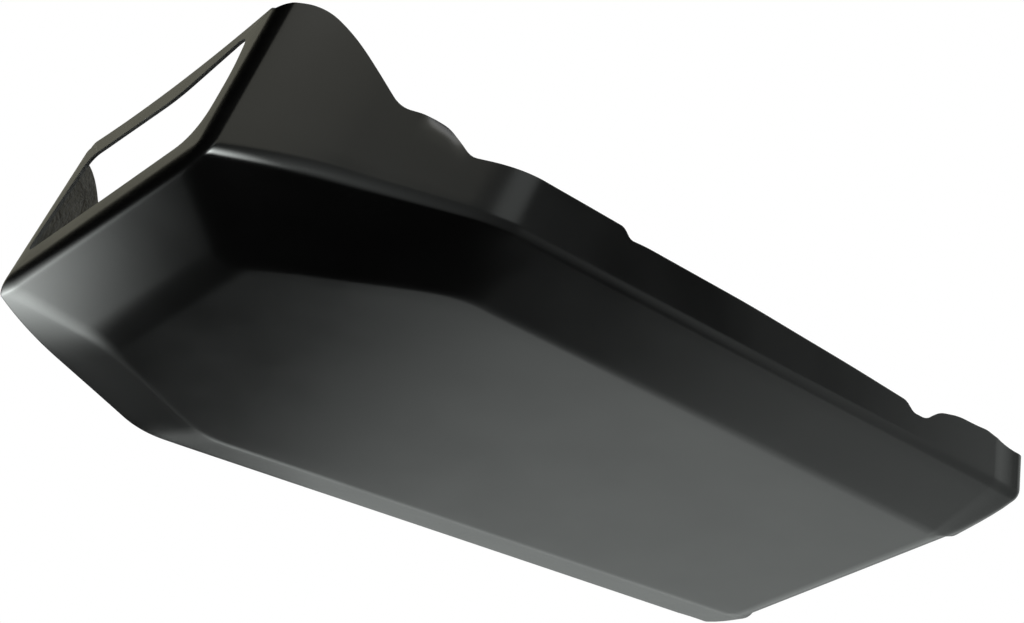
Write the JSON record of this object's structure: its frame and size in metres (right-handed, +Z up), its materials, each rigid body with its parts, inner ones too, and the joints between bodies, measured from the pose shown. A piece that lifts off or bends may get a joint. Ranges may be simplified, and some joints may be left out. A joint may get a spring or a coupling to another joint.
{
  "type": "motorcycle belly pan",
  "caption": "One-piece glass-fibre belly pan for a motorcycle: open tray with bevelled sides and a raked front frame around an air opening.",
  "frame": {"origin": "on the ground plane under the floor, midway along the pan's length and on its centre line", "axes": "+X forward towards the framed opening, +Y to the rider's left, +Z up"},
  "size_m": [0.6006, 0.4008, 0.1514],
  "materials": {
    "laminate": "satin black gel coat outside, bare glass-fibre laminate inside"
  },
  "bodies": {
    "root": {"belly_pan": "laminate"}
  },
  "joints": []
}
